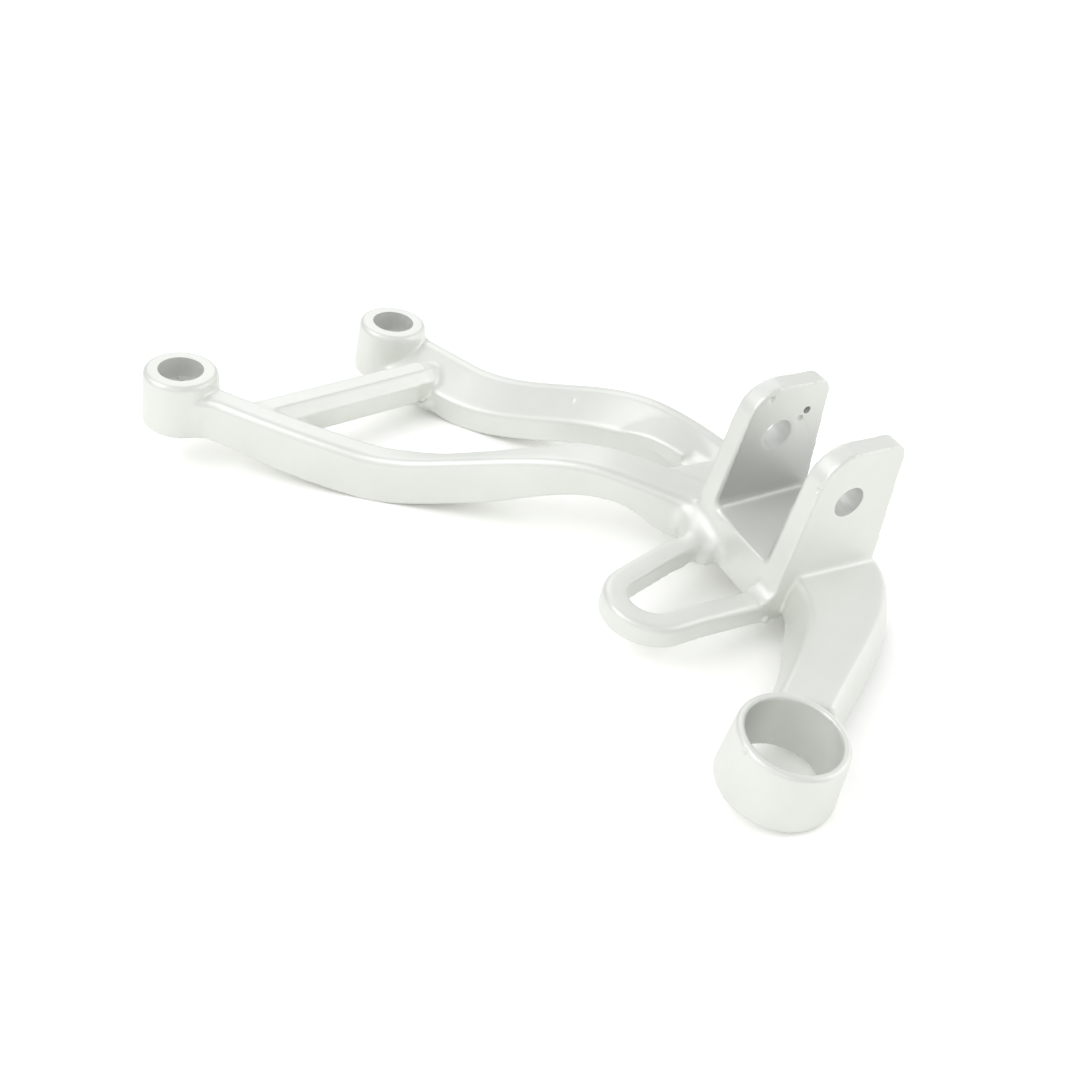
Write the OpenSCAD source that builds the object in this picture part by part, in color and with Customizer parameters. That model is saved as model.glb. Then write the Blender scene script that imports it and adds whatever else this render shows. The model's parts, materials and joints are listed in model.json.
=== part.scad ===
// Motorcycle footrest hanger: one cast aluminium bracket.
// Frame: origin midway between the two frame bolts, on the seat faces (z = 0).
// +Y runs from the front bolt to the rear bolt, +X towards the exhaust ring, +Z outboard.

/* [Frame bolts] */
// Distance between the two frame bolts, mm
bolt_spacing = 78; // [72:0.5:84]
// Clearance hole for each frame bolt, mm
bolt_hole_d = 8.8; // [8.4:0.1:9.4]
// Counterbore that sinks the bolt head, mm
counterbore_d = 13.8; // [13.4:0.1:15]
// Depth of the counterbore, mm
counterbore_depth = 6.8; // [5:0.1:8]
// Height of each boss above the seat face, mm
boss_h = 18; // [17:0.5:20]
// Outside diameter of a boss at its top, mm
boss_top_d = 22.6; // [21.6:0.1:24]
// How much wider each boss is at its foot, mm
boss_draft = 1.8; // [0:0.1:2.4]

/* [Arms] */
// Top of the arms above the seat face, near the bosses, mm
arm_top = 14; // [13:0.5:15]
// How far the arms step outboard on the way to the clevis, mm
step_out = 22; // [16:0.5:26]
// Height of an arm where it is deepest, mm
arm_h = 15.6; // [14.6:0.2:16.6]
// Rise of the arch under the arms' outer end, mm
arch_rise = 6.6; // [0:0.2:7]
// Width of an arm, mm
arm_w = 14.4; // [12:0.2:16]
// Flat strip on top of an arm, mm
strip_w = 5.2; // [4:0.1:6]
// Drop of the bevel on the inner side of an arm, mm
bevel_drop = 7.2; // [5:0.1:8]
// Rounding of the outer edge of an arm, mm
edge_r = 2.8; // [1.6:0.1:3]
// Distance of the crossbar from the bolts' line, mm
crossbar_x = 18.2; // [16:0.2:22]
// Width of the crossbar between the arms, mm
crossbar_w = 10.2; // [8:0.2:12]
// Height of the crossbar, mm
crossbar_h = 10; // [8:0.5:12]

/* [Peg clevis] */
// Hole for the folding peg's pin, mm
pin_hole_d = 8.6; // [8.2:0.1:9.2]
// Height of the pin above the clevis floor, mm
pin_above_floor = 21.5; // [19:0.5:24]
// Slot between the two ears, mm
slot_w = 22.8; // [20:0.2:26]
// Height of the block under the clevis floor, mm
clevis_h = 14; // [12:0.5:16]
// Thickness of an ear at its foot, mm
ear_t = 7.4; // [6.6:0.1:9]
// How much thinner an ear is at its top, mm
ear_draft = 1.8; // [0:0.1:2.4]
// Width of an ear at its foot, mm
ear_w = 31; // [29:0.5:34]
// Height of the ears above the clevis floor, mm
ear_h = 36.4; // [34:0.2:40]
// Rise of the slot's floor from its front to its back, mm
floor_rise = 2.4; // [0:0.1:3]
// Small spring hole in the left ear, mm
spring_hole_d = 2.2; // [1.6:0.1:3]

/* [Strap loop] */
// Width of the loop's bar, mm
loop_bar_w = 6.4; // [5:0.2:7.4]
// Height of the loop's bar, mm
loop_bar_h = 6.2; // [5:0.2:8]
// Reach of the loop in front of the clevis, mm
loop_reach = 45; // [40:0.5:50]

/* [Exhaust ring] */
// Bore for the rubber damper, mm
ring_bore_d = 21.9; // [20:0.1:23]
// Wall of the ring at its rim, mm
ring_wall = 1.9; // [1.6:0.1:3]
// Height of the ring, mm
ring_h = 16; // [14:0.5:20]
// How much wider the ring is at its foot, mm
ring_draft = 2.4; // [0:0.1:3]

/* [Hidden] */
$fn = 64;
silver = [0.86, 0.87, 0.86];

bolt_y = bolt_spacing / 2;
boss_edge = 1.6;
clevis_turn = 11.85;
axis_turn = 22.5;
floor_z = arm_top + step_out + 2.5;
under_z = floor_z - clevis_h;
pin_z = floor_z + pin_above_floor;
ear_top_z = floor_z + ear_h;

// Clevis frame: local X is the pin axis, local Y runs along the ears.
slot_mid = 147.7;
slot_in = slot_mid - slot_w / 2;
slot_out = slot_mid + slot_w / 2;
body_in = slot_in - ear_t;
body_out = slot_out + ear_t;
ear_front = 71.4;
ear_back = ear_front + ear_w;
pin_v = ear_front + 13.8;
spring_v = ear_back - 9.6;
web_reach = 18.4;
front_corner = on_clevis(body_in, ear_front);
rear_corner = on_clevis(body_in, ear_back);

// The step of both arms, measured along the bracket.
step_run = 75;
step_to = along(front_corner[0], front_corner[1]) - 25.2;
step_from = step_to - step_run;

// Roots of the strap loop.
loop_left = front_corner + [7.1, -2.4];
loop_right = on_clevis(body_out - 3, ear_front + 3.8);

ring_x = 215.3;
ring_y = -2.8;
ring_top_z = floor_z + 1.5;
ring_r = ring_bore_d / 2 + ring_wall;

// A place in the clevis frame, in plan.
function on_clevis(m, v) = [
  m * cos(clevis_turn) + v * sin(clevis_turn),
  v * cos(clevis_turn) - m * sin(clevis_turn)
];

// Smooth 0-to-1 step and the height of the arms' top along the bracket.
function unit(t) = min(1, max(0, t));
function ease(t) = unit(t) * unit(t) * (3 - 2 * unit(t));
function along(x, y) = x * cos(axis_turn) + y * sin(axis_turn);
function top_at(s) = arm_top + step_out * ease((s - step_from) / step_run)
  - 0.9 * ease((s - step_to - 2.5) / 20);
function depth_at(s, from_boss) = arm_h - (arm_h - arm_top + 0.2) * (1 - ease((from_boss - 4) / 38))
  - arch_rise * ease((s - step_to + 37.5) / 42) * (1 - 0.6 * ease((s - step_to - 4.5) / 15));
function mix(a, b, t) = a + (b - a) * t;
function arc2(c, r, a0, a1, n) =
  [for (i = [0:n]) let (a = mix(a0, a1, i / n)) [c[0] + r * cos(a), c[1] + r * sin(a)]];

// A solid through matching outlines, each a ring of points.
module loft(rows, flip = false) {
  n = len(rows[0]);
  m = len(rows);
  points = [for (i = [0:m - 1]) for (p = rows[flip ? m - 1 - i : i]) p];
  sides = [for (i = [0:m - 2]) for (j = [0:n - 1]) for (k = [0:1])
    k == 0 ? [i * n + j, i * n + (j + 1) % n, (i + 1) * n + j]
           : [i * n + (j + 1) % n, (i + 1) * n + (j + 1) % n, (i + 1) * n + j]];
  first = [for (j = [n - 1:-1:0]) j];
  last = [for (j = [0:n - 1]) (m - 1) * n + j];
  polyhedron(points = points, faces = concat([first], sides, [last]), convexity = 6);
}

// Outline of an arm across its run: distance in from the outer wall, drop from the top.
function arm_outline(w, h) = concat(
  [[0, h]],
  [for (i = [0:5]) edge_r * [1 - cos(18 * i), 1 - sin(18 * i)]],
  [
    [strip_w - 0.5, 0],
    [strip_w + 0.2, 0.2],
    [w - 0.9, bevel_drop - 0.6],
    [w - 0.2, bevel_drop + 0.2],
    [w, bevel_drop + 1],
    [w, h]
  ]
);

function bezier(a, b, c, d, t) =
  a * pow(1 - t, 3) + b * 3 * t * pow(1 - t, 2) + c * 3 * t * t * (1 - t) + d * t * t * t;

// Outer wall of each arm in plan.
function front_wall() =
  let (a = [4, -3.2 - bolt_y], b = front_corner + [1.2, -1.2], u = (b - a) / norm(b - a))
  [for (i = [0:45]) mix(a, b, i / 45) + [u[1], -u[0]] * 2.2 * sin(180 * min(1, i / 25))];
function rear_wall() =
  let (a = [-1, 8.2 + bolt_y], e = rear_corner + [0.8, -0.15], b = e - [40, 0.2], u = (b - a) / norm(b - a))
  concat([for (i = [0:31]) mix(a, b, i / 32)],
    [for (i = [0:10]) bezier(b, b + u * 15, e - [cos(clevis_turn), -sin(clevis_turn)] * 14, e, i / 10)]);

// One arm: lofted along its outer wall, stepping outboard on the way.
// flare widens its inner side at the boss, blend fillets its outer wall into it over the length run_out.
module arm(wall, side, flare, blend, run_out) {
  last = len(wall) - 1;
  rows = [for (i = [0:last])
    let (run = wall[min(last, i + 1)] - wall[max(0, i - 1)],
      u = run / norm(run),
      n = side * [-u[1], u[0]],
      w = arm_w + flare * pow(1 - i / last, 3),
      d = norm(wall[i] - wall[0]),
      out = min(blend, 3.7 * blend * pow(max(0, 1 - d / run_out), 2)),
      s = along(wall[i][0] + n[0] * w / 2, wall[i][1] + n[1] * w / 2))
    [for (q = arm_outline(w, depth_at(s, d)))
      let (c = wall[i] + n * (q[0] - out * (1 - q[0] / w)))
      [c[0], c[1], top_at(along(c[0], c[1])) - q[1]]]];
  loft(rows, side < 0);
}

module boss(y) {
  r = boss_top_d / 2;
  translate([0, y, 0]) rotate_extrude() polygon([
    [0, 0],
    [r + boss_draft / 2 - 0.6, 0],
    [r + boss_draft / 2, 0.6],
    [r + 0.05, boss_h - boss_edge],
    [r - 0.4, boss_h - 0.5],
    [r - 1.2, boss_h],
    [0, boss_h]
  ]);
}

module bosses() {
  boss(-bolt_y);
  boss(bolt_y);
}

module arms() {
  arm(front_wall(), 1, 2, 3.2, 14);
  arm(rear_wall(), -1, 5, 1.7, 10.7);
}

module crossbar() {
  top = arm_top - 0.4;
  x0 = crossbar_x;
  x1 = x0 + crossbar_w;
  end = bolt_y - 2.6;
  intersection() {
    translate([0, end, 0]) rotate([90, 0, 0]) linear_extrude(height = bolt_spacing - 14.9) polygon([
      [x0, top - crossbar_h],
      [x0, top - 1.2],
      [x0 + 1.2, top],
      [x1 - 3.4, top],
      [x1, top - 3.4],
      [x1, top - crossbar_h]
    ]);
    linear_extrude(height = top + 1) polygon(concat(
      [[x0, -bolt_y], [x1, -bolt_y]],
      arc2([x1 - 5, end - 5], 5, 0, 90, 8),
      arc2([x0 + 2.4, end - 2.4], 2.4, 90, 180, 5)
    ));
  }
}

// Outline of the ears seen along the pin.
function ear_outline() = concat(
  [[ear_front, under_z], [ear_front, floor_z]],
  arc2([ear_front + 12.6, ear_top_z - 10.4], 10, 176, 100, 9),
  arc2([ear_back - 7.3, ear_top_z - 3.4], 3.4, 96, 8, 6),
  [[ear_back, floor_z], [ear_back, under_z]]
);

// Height of the slot's floor along the ears.
function floor_at(v) = floor_z + floor_rise * (v - ear_front) / ear_w;

// Space between the ears: drafted walls over the rising floor.
module slot() {
  top = ear_top_z + 2;
  d = ear_draft / 2;
  v0 = ear_front - 10;
  v1 = ear_back + 10;
  intersection() {
    translate([0, v1, 0]) rotate([90, 0, 0]) linear_extrude(height = v1 - v0) polygon([
      [slot_in, under_z],
      [slot_in, floor_z],
      [slot_in - d, top],
      [slot_out + d, top],
      [slot_out, floor_z],
      [slot_out, under_z]
    ]);
    translate([slot_in - 5, 0, 0]) rotate([90, 0, 90]) linear_extrude(height = slot_w + 10) polygon([
      [v0, floor_at(v0)],
      [v1, floor_at(v1)],
      [v1, top],
      [v0, top]
    ]);
  }
}

module clevis() {
  top = ear_top_z + 1;
  d = ear_draft / 2;
  rotate([0, 0, -clevis_turn]) difference() {
    intersection() {
      translate([body_in - 4, 0, 0]) rotate([90, 0, 90])
        linear_extrude(height = body_out - body_in + 8) polygon(ear_outline());
      translate([0, ear_back + 5, 0]) rotate([90, 0, 0]) linear_extrude(height = ear_w + 10) polygon([
        [body_in, under_z],
        [body_in, floor_z],
        [body_in + d, top],
        [body_out - d, top],
        [body_out, floor_z],
        [body_out, under_z]
      ]);
    }
    slot();
    translate([body_in - 5, spring_v, pin_z + 6.4]) rotate([0, 90, 0])
      cylinder(d = spring_hole_d, h = ear_t + slot_w / 2);
  }
}

// Flat web that closes the space between the arms at the clevis.
module web() {
  rotate([0, 0, -clevis_turn]) translate([body_in - web_reach, ear_front - 3.4, under_z])
    cube([web_reach + 0.5, ear_w + 1.4, clevis_h - 5]);
}

// Shoulder that carries the front arm and the loop into the clevis, lofted along the front corner.
function shoulder_row(t) =
  let (x = front_corner[0] + mix(-3.3, 13.7, t),
    y = front_corner[1],
    front = y - 2.4 - 6.5 * sin(130 * t),
    back = y + 4.6 - 4 * t,
    ridge = y - 0.4 - 3.4 * sin(100 * t),
    low = under_z + max(0, 2 - 6 * t),
    top = floor_z - 4.2 - 3.2 * t * t)
  [
    [x, front, low],
    [x, back, low],
    [x, back, top + 0.3],
    [x, ridge, top],
    [x, front + 1.6 * min(1, 4 * t), top - 2.2]
  ];

module shoulder() {
  loft([for (i = [0:8]) shoulder_row(i / 8)], true);
}

// Small web between the loop's outer leg and the ear's front face.
module loop_web() {
  z0 = under_z + loop_bar_h - 1;
  rotate([0, 0, -clevis_turn]) translate([slot_out + 0.6, 0, 0]) rotate([90, 0, 90])
    linear_extrude(height = ear_t - 0.4) polygon([
      [ear_front + 1, z0],
      [ear_front - 4, z0],
      [ear_front - 3.2, z0 + 1.4],
      [ear_front - 1.4, z0 + 2.4],
      [ear_front, z0 + 4.4],
      [ear_front + 1, z0 + 4.4]
    ]);
}

// Centre line of the loop, its tip rounded.
function loop_path() =
  let (r = (loop_right[0] - loop_left[0]) / 2 - 4.3,
    c = [(loop_left[0] + loop_right[0]) / 2 - 1.6, loop_left[1] - loop_reach + 13.6])
  concat(
    [for (i = [0:2]) mix(loop_left, c + [-r - 1.5, 8], i / 3)],
    arc2(c, r, 190, 348.5, 14),
    [for (i = [0:3]) mix(c + [r + 1.1, 7], loop_right, i / 3)]
  );

// Outline of the loop's bar across its run, w being half its width.
function loop_section(w, h) = [
  [-w, 0],
  [w + 0.3, 0],
  [w, h - 1.3],
  [w - 0.4, h - 0.5],
  [w - 1.4, h],
  [0.6 - w, h],
  [-w, h - 0.6]
];

module loop() {
  path = loop_path();
  last = len(path) - 1;
  z0 = under_z + 0.2;
  rows = [for (i = [0:last])
    let (t = path[min(last, i + 1)] - path[max(0, i - 1)], u = t / norm(t), n = [u[1], -u[0]])
    [for (q = loop_section(loop_bar_w / 2, loop_bar_h))
      [path[i][0] + n[0] * q[0], path[i][1] + n[1] * q[0], z0 + q[1]]]];
  loft(rows);
}

// One edge of the strap, from the clevis's outer ear to the ring.
function strap_edge(a, b, turn_a, turn_b, lead_a, lead_b, t) =
  let (span = norm(b - a),
    lead_in = [cos(turn_a), sin(turn_a)] * lead_a * span,
    lead_out = [cos(turn_b), sin(turn_b)] * lead_b * span)
  bezier(a, a + lead_in, b - lead_out, b, t);

// Strap that carries the exhaust ring, wider at its foot.
module strap() {
  z0 = under_z + 2;
  z1 = floor_z - 0.4;
  middle = [ring_x, ring_y];
  front_root = on_clevis(body_out - 2.8, ear_front + 5.3);
  rear_root = on_clevis(body_out - 3.2, ear_back + 0.8);
  front_end = middle + (ring_r + 1) * [cos(141), sin(141)];
  rear_end = middle + (ring_r + 3) * [cos(95), sin(95)];
  rows = [for (i = [0:12])
    let (t = i / 12,
      a = strap_edge(front_root, front_end, -8, -65.5, 0.33, 0.52, t),
      b = strap_edge(rear_root, rear_end, -8, -67, 0.27, 0.38, t),
      u = (b - a) / norm(b - a),
      f = 1 + 4.4 * ease(t / 0.45) - 2.4 * ease((t - 0.4) / 0.4),
      r = 1 + 4.2 * ease(t / 0.22) - 1.4 * ease((t - 0.3) / 0.7))
    [
      [a[0] - u[0] * f, a[1] - u[1] * f, z0],
      [b[0] + u[0] * r, b[1] + u[1] * r, z0],
      [b[0] + u[0] * 0.8, b[1] + u[1] * 0.8, z1 - 1],
      [b[0] - u[0] * 0.4, b[1] - u[1] * 0.4, z1],
      [a[0] + u[0] * 0.4, a[1] + u[1] * 0.4, z1],
      [a[0] - u[0] * 0.8, a[1] - u[1] * 0.8, z1 - 1]
    ]];
  loft(rows, true);
}

module ring() {
  translate([ring_x, ring_y, ring_top_z - ring_h]) rotate_extrude() polygon([
    [0, 0],
    [ring_r + ring_draft / 2 - 0.4, 0],
    [ring_r + ring_draft / 2, 0.4],
    [ring_r, ring_h - 0.8],
    [ring_r - 0.5, ring_h - 0.2],
    [ring_r - 0.9, ring_h],
    [0, ring_h]
  ]);
}

module bolt_cut(y) {
  translate([0, y, -3]) cylinder(d = bolt_hole_d, h = boss_h + 6);
  translate([0, y, boss_h - counterbore_depth]) cylinder(d = counterbore_d, h = counterbore_depth + 1);
}

module hanger() {
  color(silver) difference() {
    union() {
      bosses();
      arms();
      crossbar();
      clevis();
      web();
      shoulder();
      loop_web();
      loop();
      strap();
      ring();
    }
    bolt_cut(-bolt_y);
    bolt_cut(bolt_y);
    rotate([0, 0, -clevis_turn]) translate([body_in - 5, pin_v, pin_z]) rotate([0, 90, 0])
      cylinder(d = pin_hole_d, h = slot_w + ear_t * 2 + 10);
    translate([ring_x, ring_y, ring_top_z - ring_h - 1]) cylinder(d = ring_bore_d, h = ring_h + 2);
  }
}

hanger();
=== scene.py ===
# %% [markdown]
# # Motorcycle footrest hanger
#
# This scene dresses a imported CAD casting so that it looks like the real, silver-painted one.
# The CAD model has crisp edges. A real casting has soft fillets, rounded rims, a fine grain under
# its paint and small foundry marks, so the shown piece is a remeshed and smoothed copy of the CAD
# node.
#
# The row frame is the CAD frame, in metres: the origin lies midway between the two frame bolts on
# the seat faces, +X runs to the exhaust ring, +Y to the rear bolt and +Z outboard.

import json

import bmesh
import bpy
import numpy as np
from mathutils import Matrix, Vector


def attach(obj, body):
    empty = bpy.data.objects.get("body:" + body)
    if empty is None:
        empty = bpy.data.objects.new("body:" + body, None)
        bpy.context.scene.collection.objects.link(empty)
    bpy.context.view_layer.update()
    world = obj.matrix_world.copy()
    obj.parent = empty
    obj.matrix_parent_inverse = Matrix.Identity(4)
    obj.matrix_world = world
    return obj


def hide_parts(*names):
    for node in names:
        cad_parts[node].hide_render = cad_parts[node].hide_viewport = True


MM = 0.001
Z_AXIS = Vector((0, 0, 1))

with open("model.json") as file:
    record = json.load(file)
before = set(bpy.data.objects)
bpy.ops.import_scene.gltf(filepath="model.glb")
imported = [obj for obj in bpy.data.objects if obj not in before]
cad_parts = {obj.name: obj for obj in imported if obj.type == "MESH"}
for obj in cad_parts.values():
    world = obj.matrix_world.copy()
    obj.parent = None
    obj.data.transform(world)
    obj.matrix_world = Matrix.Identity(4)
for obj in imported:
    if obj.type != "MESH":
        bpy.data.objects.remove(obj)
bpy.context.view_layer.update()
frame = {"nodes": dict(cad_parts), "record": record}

# %% [markdown]
# ## Driving sizes
#
# The bores keep the sizes of the record's mounts, because bolts, pin and damper have to fit them.
# Everything else here is a look: how fine the copy is, how soft its fillets are, and the finish.

# %% Sizes that the look depends on
mounts = {m["name"]: m for m in frame["record"]["mounts"]}
bolt_spacing = mounts["frame_bolts"]["dims"]["spacing_y_mm"] * MM
bolt_radius = mounts["frame_bolts"]["dims"]["hole_r_mm"] * MM
head_radius = 6.9 * MM
head_depth = 6.8 * MM
boss_top = 18 * MM
ear_thickness = 6.4 * MM
across_slot = 30.2 * MM
voxel = 0.4 * MM
edge_passes = 5
fillet_passes = 26
most_triangles = 190000
spin_steps = 96

bolt_axes = [Vector((0, side * bolt_spacing / 2, 0)) for side in (-1, 1)]
pin_axis = Vector(mounts["peg_pin"]["axis"]).normalized()


def hole(name, start=0.0, end=0.0):
    """A straight hole of the record: a point on its axis, the axis, the radius and its two ends."""
    mount = mounts[name]
    place = Vector(mount["pos_m"])
    axis = Vector(mount["axis"]).normalized()
    return place, axis, mount["dims"]["r_mm"] * MM, start, end


ear_half = ear_thickness / 2
left_pin = hole("peg_pin", -ear_half, ear_half)
right_pin = hole("peg_pin", across_slot - ear_half, across_slot + ear_half)
spring = hole("spring_hole", -ear_half, ear_half)
cross_holes = (left_pin, right_pin, spring)
print("hole radii in mm: bolt", bolt_radius / MM, "pin", left_pin[2] / MM, "spring", spring[2] / MM)

# %% [markdown]
# ## The camera
#
# The photograph is square. It was taken from above the exhaust ring's side, looking back towards
# the frame bolts. The camera's own axes point to its right, up, and backward, away from the part.

# %% Camera at the photograph's angle
camera_place = Vector((293.4, -175.2, 216.8)) * MM
camera_backward = Vector((0.5425, -0.5716, 0.6156)).normalized()
camera_upward = Vector((-0.5655, 0.2935, 0.7708))
sensor_width = 36
focal_length = 38.93


def add_camera():
    data = bpy.data.cameras.new("photo_camera")
    data.sensor_width = sensor_width
    data.lens = focal_length
    data.clip_start = 0.01
    data.clip_end = 20
    camera = bpy.data.objects.new("photo_camera", data)
    right = camera_upward.cross(camera_backward).normalized()
    up = camera_backward.cross(right)
    turn = Matrix((right, up, camera_backward)).transposed().to_4x4()
    camera.matrix_world = Matrix.Translation(camera_place) @ turn
    bpy.context.scene.collection.objects.link(camera)
    bpy.context.scene.camera = camera
    return camera


camera = add_camera()
print("camera:", [round(c / MM) for c in camera.location], "mm, lens", camera.data.lens)

# %% [markdown]
# ## The casting
#
# A voxel remesh turns the CAD solid into an even skin. A few smoothing passes then melt its
# sharp corners into fillets, as a sand or gravity mould would. Bores are machined after casting, so
# they are plugged first and drilled again afterwards, which leaves round walls and crisp rims.
# Only the ring's bore stays as cast, since its rim is a rounded bead.

# %% Mesh helpers
def evaluated_mesh(obj):
    """The object's mesh with its modifiers applied."""
    graph = bpy.context.evaluated_depsgraph_get()
    return bpy.data.meshes.new_from_object(obj.evaluated_get(graph), depsgraph=graph)


def with_modifier(obj, kind, **settings):
    """Adds one modifier, applies it and leaves the plain result on the object."""
    modifier = obj.modifiers.new(kind.lower(), kind)
    for name, value in settings.items():
        setattr(modifier, name, value)
    mesh = evaluated_mesh(obj)
    obj.modifiers.clear()
    obj.data = mesh


def rows_of(collection, attribute):
    """One attribute of a mesh's vertices or polygons, three numbers to a row."""
    numbers = np.zeros(len(collection) * 3)
    collection.foreach_get(attribute, numbers)
    return numbers.reshape(-1, 3)


def move_vertices(mesh, points):
    mesh.vertices.foreach_set("co", points.ravel())
    mesh.update()


def add_lathe(bm, base, axis, profile):
    """Spins a profile of (radius, height) points round an axis into a closed shell."""
    turn = Matrix.Translation(base) @ axis.to_track_quat("Z", "Y").to_matrix().to_4x4()
    verts = [bm.verts.new(turn @ Vector((radius, 0, height))) for radius, height in profile]
    edges = [bm.edges.new(pair) for pair in zip(verts, verts[1:])]
    bmesh.ops.spin(
        bm, geom=verts + edges, cent=base, axis=axis, angle=2 * np.pi, steps=spin_steps)


def add_cylinder(bm, point, axis, radius, start, end):
    add_lathe(bm, point, axis, [(0, start), (radius, start), (radius, end), (0, end)])


def add_loft(bm, sections):
    """A closed solid through matching outlines, in mm."""
    rows = [[bm.verts.new(Vector(point) * MM) for point in section] for section in sections]
    count = len(rows[0])
    for one, two in zip(rows, rows[1:]):
        for i in range(count):
            bm.faces.new((one[i], one[(i + 1) % count], two[(i + 1) % count], two[i]))
    bm.faces.new(rows[0][::-1])
    bm.faces.new(rows[-1])


def cleaned(bm, name):
    """Merges doubles, turns the normals outwards and returns a mesh."""
    bmesh.ops.remove_doubles(bm, verts=bm.verts, dist=0.001 * MM)
    bmesh.ops.recalc_face_normals(bm, faces=bm.faces)
    mesh = bpy.data.meshes.new(name)
    bm.to_mesh(mesh)
    bm.free()
    return mesh


def linked_object(bm, name):
    """A new object in the scene from a finished bmesh."""
    obj = bpy.data.objects.new(name, cleaned(bm, name))
    bpy.context.scene.collection.objects.link(obj)
    return obj


print("helpers ready for modifiers, lathes, lofts and new objects")

# %% [markdown]
# The real casting has a few small forms that the CAD model leaves out. Each is a closed solid that
# overlaps the CAD solid, and the remesh joins them into one skin. They are sized in millimetres and
# follow the height of the arms' top strips, which step outboard between the bosses and the clevis.

# %% Forms of the real casting that the CAD model leaves out
def ease(t):
    """A smooth step from 0 to 1."""
    t = min(1, max(0, t))
    return t * t * (3 - 2 * t)


def strip_height(x, y):
    """Height of an arm's top strip in mm: it steps outboard, then dips slightly at the clevis."""
    heading = np.radians(22.5)
    low_end, step, step_start, step_length = 14, 22, 46.5, 75
    dip, dip_start, dip_length = 0.9, 124, 20
    run = x * np.cos(heading) + y * np.sin(heading)
    stepped = low_end + step * ease((run - step_start) / step_length)
    return stepped - dip * ease((run - dip_start) / dip_length)


def add_shelf(bm):
    """Widens the front arm's flat strip inwards, and carries it right across the arm near the web.

    Each row of the table is a share of the arm's length, the strip's inner edge and its drop in mm.
    """
    table = np.array([
        (0.08, 8.2, 0.2),
        (0.46, 8.2, 0.3),
        (0.54, 6.4, 0.2),
        (0.62, 7.2, 0.2),
        (0.68, 8.8, 0.3),
        (0.72, 10.5, 0.5),
        (0.75, 14.0, 0.8),
        (1.0, 14.2, 1.2),
    ])
    start, end = np.array((4, -42.2)), np.array((142, 42.2))
    bulge, bulge_share = 2.2, 1.8
    outer, lip, foot, inner_wall, depth = 3.4, 0.8, 3.6, 14.3, 6.8
    run = (end - start) / np.linalg.norm(end - start)
    outward = np.array((run[1], -run[0]))
    sections = []
    for share in np.linspace(0.03, 1, 60):
        swell = bulge * np.sin(np.pi * min(1, share * bulge_share))
        wall = start + (end - start) * share + outward * swell
        edge = np.interp(share, table[:, 0], table[:, 1])
        drop = np.interp(share, table[:, 0], table[:, 2])
        outline = [
            (outer, 0),
            (edge - lip, drop * 0.4),
            (edge, drop),
            (min(edge + foot, inner_wall), depth),
            (outer, depth),
        ]
        places = [(*(wall - outward * inset), below) for inset, below in outline]
        sections.append([(x, y, strip_height(x, y) - below) for x, y, below in places])
    add_loft(bm, sections)


def add_skirt(bm):
    """Carries the rear arm's inner wall down at its full depth until it ends in a block at the web.

    From there to the web only the raised slope goes on, set back from the block's face.
    """
    first, block_end, slope_start, last = 72, 118.5, 119.3, 129
    thickness, lip = 3.8, 0.8
    sections = []
    for x in np.append(np.linspace(first, block_end, 32), np.linspace(slope_start, last, 8)):
        wall = 50.75 + 0.2584 * (x - 77.2)
        top = strip_height(x, wall)
        raised = ease((x - 86) / 20)
        edge = top - 7.8 + 3.4 * ease((x - 86) / 26)
        far = (x, wall + thickness + 5.2 * raised, edge + (top - 0.5 - edge) * raised)
        low = top - 15.2 + 2.2 * ease((x - 100) / 18)
        near = wall
        if x > block_end:
            near = wall + 2.6
            edge += 1.2
            low = top - 9
        sections.append([
            (x, near, edge - lip),
            (x, near, low),
            (x, wall + thickness, low),
            far,
            (x, near + lip, edge),
        ])
    add_loft(bm, sections)


def add_bar_root(bm):
    """Runs the crossbar's rear end out on the slope of the rear arm.

    Each row of the table is a place along the bar, the bar's top and its two sides, in mm.
    """
    table = (
        (31, 13.5, 18.4, 28.2),
        (36, 13.5, 18.4, 28.2),
        (39, 13.1, 18.8, 27.6),
        (41.5, 12.3, 19.4, 26.6),
        (44, 11.0, 20.2, 25.4),
    )
    bottom, small_bevel, bevel_width, bevel_drop = 5, 1.2, 3.4, 3.2
    add_loft(bm, [[
        (left, y, bottom),
        (left, y, top - small_bevel),
        (left + small_bevel, y, top),
        (right - bevel_width, y, top),
        (right, y, top - bevel_drop),
        (right, y, bottom),
    ] for y, top, left, right in table])


def add_bead(bm):
    """The rounded bead on the ring's rim."""
    centre = Vector(mounts["damper_ring"]["pos_m"])
    base = Vector((centre.x, centre.y, 38.85 * MM))
    ring, tube = 11.72 * MM, 1.1 * MM
    turns = np.linspace(0, 2 * np.pi, 17)
    add_lathe(bm, base, Z_AXIS, [(ring + tube * np.cos(t), tube * np.sin(t)) for t in turns])


print("strip height in mm: boss", strip_height(20, -30), "clevis", round(strip_height(140, 40), 1))

# %% [markdown]
# The plugs are a little wider than their holes and stay inside the bosses and ears. The drills are
# the holes at their true size, and reach past both faces. The tiny pit has a tool of its own,
# because the shells of one tool mustn't overlap.

# %% Plugs and drills for the machined bores
def plugged_copy(node, name):
    """A new object with the node's mesh, the extra forms, and its small bores plugged."""
    bm = bmesh.new()
    bm.from_mesh(node.data)
    bmesh.ops.remove_doubles(bm, verts=bm.verts, dist=0.002 * MM)
    add_shelf(bm)
    add_skirt(bm)
    add_bar_root(bm)
    add_bead(bm)
    overlap, sunk = 0.6 * MM, 0.2 * MM
    for point in bolt_axes:
        add_cylinder(bm, point, Z_AXIS, head_radius + overlap, 0, boss_top)
    for point, axis, radius, start, end in cross_holes:
        add_cylinder(bm, point, axis, radius + overlap, start + sunk, end - sunk)
    return linked_object(bm, name)


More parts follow.
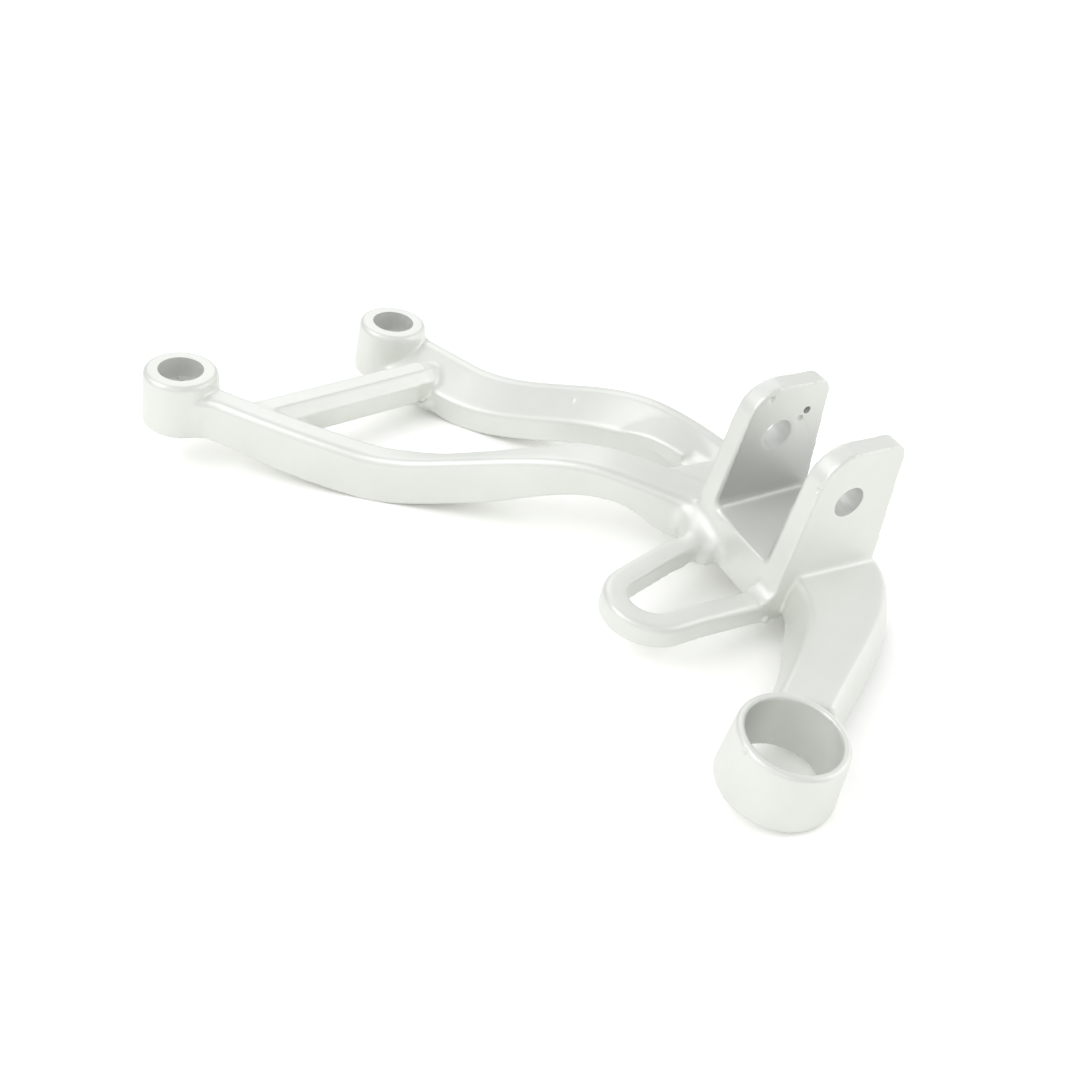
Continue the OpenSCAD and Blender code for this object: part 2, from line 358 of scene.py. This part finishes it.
def drills():
    """One tool with a drill for every bore, the bolt drills stepped for the bolt heads."""
    bm = bmesh.new()
    beyond = 3 * MM
    step = boss_top - head_depth
    for point in bolt_axes:
        add_lathe(bm, point, Z_AXIS, [
            (0, -beyond),
            (bolt_radius, -beyond),
            (bolt_radius, step),
            (head_radius, step),
            (head_radius, boss_top + beyond),
            (0, boss_top + beyond),
        ])
    for point, axis, radius, start, end in cross_holes:
        add_cylinder(bm, point, axis, radius, start - beyond, end + beyond)
    return linked_object(bm, "drills")


def shelf_pit():
    """The small pit in the shelf of the front counterbore."""
    bm = bmesh.new()
    place = Vector((-5.4, -37.6, 0)) * MM
    add_cylinder(bm, place, Z_AXIS, 0.4 * MM, 10.7 * MM, 11.6 * MM)
    return linked_object(bm, "shelf_pit")


print("plugs and drills ready for", len(bolt_axes) + len(cross_holes), "holes")

# %% [markdown]
# Each smoothing pass moves a point halfway to the mean of its neighbours. A pass that only lets
# points move outwards fills the inner corners, as a fillet does, and leaves the outer edges crisp.

# %% Remesh, soften and drill a copy of the CAD node
def soften(mesh, passes, hold, inner_corners_only=False):
    """Smooths the skin, holding back each point by its share in hold.

    With inner_corners_only, a point may only move outwards: corners fill up, edges stay crisp.
    """
    points = rows_of(mesh.vertices, "co")
    normals = rows_of(mesh.vertices, "normal")
    edges = np.zeros(len(mesh.edges) * 2, np.int64)
    mesh.edges.foreach_get("vertices", edges)
    edges = edges.reshape(-1, 2)
    degree = np.bincount(edges.ravel(), minlength=len(points))[:, None]
    for _ in range(passes):
        total = np.zeros_like(points)
        for axis in range(3):
            total[:, axis] = np.bincount(edges[:, 0], points[edges[:, 1], axis], len(points))
            total[:, axis] += np.bincount(edges[:, 1], points[edges[:, 0], axis], len(points))
        move = (total / degree - points) * 0.5 * (1 - hold)[:, None]
        if inner_corners_only:
            move *= ((move * normals).sum(axis=1) > 0)[:, None]
        points += move
    move_vertices(mesh, points)


def region(points, centre, radii):
    """A weight of 1 round the centre of an ellipsoid, falling smoothly to 0 at its skin."""
    reach = np.linalg.norm((points - np.array(centre) * MM) / (np.array(radii) * MM), axis=1)
    inside = np.clip(1.6 * (1 - reach), 0, 1)
    return inside * inside * (3 - 2 * inside)


def fill(mesh, centre, radii, passes):
    """Fills the inner corners of one place of the casting."""
    hold = 1 - region(rows_of(mesh.vertices, "co"), centre, radii)
    soften(mesh, passes, hold, inner_corners_only=True)


def melt(mesh, centre, radii, passes):
    """Runs one place of the casting together into a soft flow."""
    hold = 1 - region(rows_of(mesh.vertices, "co"), centre, radii)
    soften(mesh, passes, hold, inner_corners_only=True)
    soften(mesh, passes, hold)


# Small foundry marks: a place in mm, the radius and the height, which is negative for a pit.
foundry_marks = {
    "nub_at_loop": ((178.0, 34.8, 25.6), 1.3, 0.8),
    "ear_nick": ((149.0, 50.0, 71.3), 1.0, -0.5),
    "right_ear_nick": ((176.7, 38.5, 65.0), 1.0, -0.5),
    "spring_tail": ((151.5, 61.4, 64.1), 1.1, -0.5),
    "speck": ((74.7, 57.0, 25.7), 0.8, 0.25),
    "corner_lump": ((26.5, 36.0, 2.2), 4.0, 2.0),
    "ring_nick": ((212.3, -15.2, 38.9), 0.9, -0.4),
}


def add_marks(mesh):
    """Raises or sinks small round places of the skin along its normals."""
    points = rows_of(mesh.vertices, "co")
    normals = rows_of(mesh.vertices, "normal")
    for centre, radius, height in foundry_marks.values():
        share = region(points, centre, (radius, radius, radius))
        points += normals * (share * height * MM)[:, None]
    move_vertices(mesh, points)


def on_seat(points):
    """Which points lie on the bosses' seat faces or at their rims."""
    seat_rim, seats_end = 0.5 * MM, 13 * MM
    return (points[:, 2] < seat_rim) & (points[:, 0] < seats_end)


def cast_copy(node, name):
    piece = plugged_copy(node, name)
    with_modifier(piece, "REMESH", mode="VOXEL", voxel_size=voxel)
    hold = 0.6 * on_seat(rows_of(piece.data.vertices, "co"))
    soften(piece.data, edge_passes, hold)
    soften(piece.data, fillet_passes, hold, inner_corners_only=True)
    shoulder = (147, 38.5, 32), (14, 10.5, 11)
    crossbar_corner = (23, 36, 11), (13, 9, 9)
    melt(piece.data, *shoulder, passes=110)
    fill(piece.data, *crossbar_corner, passes=70)
    add_marks(piece.data)
    with_modifier(piece, "TRIANGULATE")
    with_modifier(piece, "DECIMATE", ratio=min(1, most_triangles / len(piece.data.polygons)))
    for tool in (drills(), shelf_pit()):
        with_modifier(piece, "BOOLEAN", operation="DIFFERENCE", solver="EXACT", object=tool)
        bpy.data.objects.remove(tool)
    with_modifier(piece, "TRIANGULATE")
    for polygon in piece.data.polygons:
        polygon.use_smooth = True
    piece.data.set_sharp_from_angle(angle=np.radians(38))
    piece.data.materials.clear()
    return piece


casting = cast_copy(frame["nodes"]["hanger"], "casting")
print("casting:", len(casting.data.polygons), "faces")

# %% [markdown]
# ## Materials
#
# Each finish is a small node tree. Patterns use Object coordinates, which are metres here, so a
# pattern of so many millimetres has a scale of 1000 divided by that size.

# %% Node helpers
def linear(hex_colour):
    """An sRGB hex colour as linear RGBA."""
    channels = [int(hex_colour[i:i + 2], 16) / 255 for i in (1, 3, 5)]
    return [c / 12.92 if c <= 0.04045 else ((c + 0.055) / 1.055) ** 2.4 for c in channels] + [1]


def add_node(material, kind, inputs=None, **settings):
    """Adds one node, sets its properties and its inputs, and links the inputs given as sockets."""
    node = material.node_tree.nodes.new(kind)
    for name, value in settings.items():
        setattr(node, name, value)
    for name, value in (inputs or {}).items():
        if isinstance(value, bpy.types.NodeSocket):
            material.node_tree.links.new(value, node.inputs[name])
        else:
            node.inputs[name].default_value = value
    return node


def maths(material, operation, *values):
    """The result of one Math node."""
    node = add_node(material, "ShaderNodeMath", dict(enumerate(values)), operation=operation)
    return node.outputs["Value"]


def vector_maths(material, operation, *values):
    """One Vector Math node's results: a Vector and a Value."""
    inputs = dict(enumerate(values))
    return add_node(material, "ShaderNodeVectorMath", inputs, operation=operation).outputs


def product(material, *values):
    result = values[0]
    for value in values[1:]:
        result = maths(material, "MULTIPLY", result, value)
    return result


def ramp(material, value, low, high):
    """0 at low and 1 at high, in millimetres, with a smooth step between them."""
    node = add_node(material, "ShaderNodeMapRange", {
        "Value": value,
        "From Min": low * MM,
        "From Max": high * MM,
    }, interpolation_type="SMOOTHSTEP")
    return node.outputs["Result"]


def noise(material, place, size_mm, detail):
    """A noise pattern whose grains are about size_mm wide."""
    return add_node(material, "ShaderNodeTexNoise", {
        "Vector": place,
        "Scale": 1 / (size_mm * MM),
        "Detail": detail,
    }).outputs["Fac"]


def roughness_from(material, pattern, low, high):
    """A pattern's middle range as a roughness between low and high."""
    return add_node(material, "ShaderNodeMapRange", {
        "Value": pattern,
        "From Min": 0.3,
        "From Max": 0.7,
        "To Min": low,
        "To Max": high,
    }).outputs["Result"]


def blend(material, share, first, second):
    """A mix of two colours, each a hex colour or a socket."""
    first, second = (linear(c) if isinstance(c, str) else c for c in (first, second))
    return add_node(material, "ShaderNodeMix", {
        "Factor": share,
        "A": first,
        "B": second,
    }, data_type="RGBA").outputs["Result"]


def new_material(name):
    material = bpy.data.materials.new(name)
    material.use_nodes = True
    material.node_tree.nodes.clear()
    return material


def finish_material(material, shader):
    output = add_node(material, "ShaderNodeOutputMaterial")
    material.node_tree.links.new(shader, output.inputs["Surface"])
    return material


print("helpers ready for nodes, ramps, noise and materials")

# %% [markdown]
# Painted shade: between the ears, low in the slot, and on the front side of the ring's inner wall,
# the paint is mixed towards a darker grey where these hollows get less light. Both places are found
# from the part's own coordinates.

# %% Silver paint on cast aluminium
def slot_painted_shade(material, place):
    """Painted shade between the ears: 1 deep in the slot, and 0 outside the slot and high up."""
    along_pin = vector_maths(material, "DOT_PRODUCT", place, pin_axis)["Value"]
    height = add_node(material, "ShaderNodeSeparateXYZ", {"Vector": place}).outputs["Z"]
    low_down = ramp(material, height, 74, 42)
    above_floor = ramp(material, height, 37.5, 42.5)
    past_left = ramp(material, along_pin, 134.5, 135.6)
    before_right = ramp(material, along_pin, 161, 159.9)
    return product(material, low_down, above_floor, past_left, before_right)


def ring_painted_shade(material, place):
    """Painted shade on the ring's inner wall: 1 on its front side, and 0 on the opposite side and
    outside it.
    """
    centre = mounts["damper_ring"]["pos_m"]
    to_front = (-0.62, -0.77, 0)
    level = vector_maths(material, "MULTIPLY", place, (1, 1, 0))["Vector"]
    offset = vector_maths(material, "SUBTRACT", level, (centre[0], centre[1], 0))["Vector"]
    radius = vector_maths(material, "LENGTH", offset)["Value"]
    forward = vector_maths(material, "DOT_PRODUCT", offset, to_front)["Value"]
    inner = ramp(material, radius, 11.6, 11.1)
    front_side = ramp(material, forward, 0, 12)
    return product(material, inner, front_side)


def silver_paint():
    material = new_material("silver_paint_on_cast_aluminium")
    place = add_node(material, "ShaderNodeTexCoord").outputs["Object"]
    grain = noise(material, place, 0.9, 3.0)
    cloud = noise(material, place, 14, 2.0)
    tone = blend(material, cloud, "#e7e9e4", "#f0f2ed")
    # Painted shade: the slot between the ears and the front of the ring's inner wall are mixed
    # towards a darker grey.
    painted_shade = maths(material, "MAXIMUM", slot_painted_shade(material, place), ring_painted_shade(material, place))
    colour = blend(material, painted_shade, tone, "#bfc2be")
    roughness = roughness_from(material, grain, 0.36, 0.46)
    bump = add_node(material, "ShaderNodeBump", {
        "Height": grain,
        "Strength": 0.12,
        "Distance": 0.1 * MM,
    })
    paint = add_node(material, "ShaderNodeBsdfPrincipled", {
        "Base Color": colour,
        "Metallic": 0.45,
        "Roughness": roughness,
        "Normal": bump.outputs["Normal"],
    })
    return finish_material(material, paint.outputs["BSDF"])


def bore_painted_shade():
    """Painted shade on the walls of the drilled bores: a finish a little darker than the paint."""
    material = new_material("bore_wall_painted_shade")
    place = add_node(material, "ShaderNodeTexCoord").outputs["Object"]
    turning = noise(material, place, 0.6, 2.0)
    shaded_wall = add_node(material, "ShaderNodeBsdfPrincipled", {
        "Base Color": linear("#e0e2df"),
        "Metallic": 0.4,
        "Roughness": roughness_from(material, turning, 0.38, 0.5),
    })
    return finish_material(material, shaded_wall.outputs["BSDF"])


def on_bore_wall(mesh):
    """Which faces lie on the wall of a drilled bore."""
    centres = rows_of(mesh.polygons, "center")
    found = np.zeros(len(centres), bool)
    bores = [bore[:3] for bore in (left_pin, spring)]
    for point in bolt_axes:
        bores += [(point, Z_AXIS, bolt_radius), (point, Z_AXIS, head_radius)]
    for point, axis, radius in bores:
        away = centres - np.array(point)
        away -= np.outer(away @ np.array(axis), np.array(axis))
        found |= abs(np.linalg.norm(away, axis=1) - radius) < 0.02 * MM
    return found


casting.data.materials.append(silver_paint())
# The bore walls get the second material, a darker colour as painted shade for the deep holes.
casting.data.materials.append(bore_painted_shade())
bore_walls = on_bore_wall(casting.data)
casting.data.polygons.foreach_set("material_index", bore_walls.astype(np.int32))
casting.data.update()
print("faces on bore walls:", int(bore_walls.sum()))
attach(casting, "root")
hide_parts("hanger")
print("casting painted, riding on root")

# %% [markdown]
# ## Table and light
#
# The hanger lies on a white table. It doesn't lie flat on its seat faces: it leans on the
# undersides of its arms and on the exhaust ring, so the table is a plane tilted by nine degrees.

# %% White table that the hanger rests on
table_normal = Vector((-0.1447, -0.0599, 0.9877)).normalized()
table_half_width = 3


def add_table():
    lowest = (rows_of(casting.data.vertices, "co") @ np.array(table_normal)).min()
    mesh = bpy.data.meshes.new("table")
    bm = bmesh.new()
    bmesh.ops.create_grid(bm, x_segments=1, y_segments=1, size=table_half_width)
    bm.to_mesh(mesh)
    bm.free()
    table = bpy.data.objects.new("table", mesh)
    turn = table_normal.to_track_quat("Z", "Y").to_matrix().to_4x4()
    table.matrix_world = Matrix.Translation(table_normal * lowest) @ turn
    bpy.context.scene.collection.objects.link(table)
    return table


def white_table_top():
    """White laminate. What the camera sees is lifted to pure white, and keeps its shadows."""
    material = new_material("white_table_top")
    surface = add_node(material, "ShaderNodeBsdfDiffuse", {"Color": linear("#e0e0de")})
    lift = add_node(material, "ShaderNodeBsdfDiffuse", {"Color": linear("#c0c0c0")})
    shaders = surface.outputs["BSDF"], lift.outputs["BSDF"]
    seen = add_node(material, "ShaderNodeAddShader", dict(enumerate(shaders)))
    rays = add_node(material, "ShaderNodeLightPath")
    looking = rays.outputs["Is Camera Ray"]
    for kind in ("Is Glossy Ray", "Is Transmission Ray"):
        looking = maths(material, "MAXIMUM", looking, rays.outputs[kind])
    choice = add_node(material, "ShaderNodeMixShader", {
        0: looking,
        1: surface.outputs["BSDF"],
        2: seen.outputs["Shader"],
    })
    return finish_material(material, choice.outputs["Shader"])


table = add_table()
table.data.materials.append(white_table_top())
print("table tilted by", round(np.degrees(Z_AXIS.angle(table_normal)), 1), "degrees")

# %% [markdown]
# Six soft boxes stand round the part, the strongest in front of it and behind it on the right, so
# that each side of the arms has its own tone. The room adds an even white light.

# %% Soft studio light
aim = (0.11, 0.01, 0.03)
softbox_width = 0.8
room_strength = 0.64

# Each soft box: its place in metres and its power in watts.
softboxes = {
    "camera_side": ((0.65, -0.65, 0.75), 0.9),
    "front": ((-0.35, -0.75, 0.85), 3.2),
    "front_low": ((-0.1, -1.05, 0.42), 1.0),
    "back_left": ((-0.75, 0.45, 0.7), 1.55),
    "back_right": ((0.75, 0.75, 0.65), 2.2),
    "back": ((0.1, 1.1, 0.5), 1.0),
}


def add_softbox(name, place, power):
    data = bpy.data.lights.new(name, "AREA")
    data.shape = "RECTANGLE"
    data.size = softbox_width
    data.size_y = softbox_width
    data.energy = power
    light = bpy.data.objects.new(name, data)
    light.location = place
    light.rotation_mode = "QUATERNION"
    light.rotation_quaternion = (Vector(aim) - Vector(place)).to_track_quat("-Z", "Y")
    bpy.context.scene.collection.objects.link(light)


def add_room(strength):
    world = bpy.data.worlds.new("white_room")
    world.use_nodes = True
    background = world.node_tree.nodes["Background"]
    background.inputs["Color"].default_value = (1, 1, 1, 1)
    background.inputs["Strength"].default_value = strength
    bpy.context.scene.world = world


for name, (place, watts) in softboxes.items():
    add_softbox(name, place, watts)
add_room(room_strength)
print("lights:", list(softboxes), "and a room of strength", room_strength)

# %% [markdown]
# ## Finish
#
# The view transform is the plain one, so that the colours come out as they are mixed.

# %% Plain view transform
bpy.context.scene.view_settings.view_transform = "Standard"
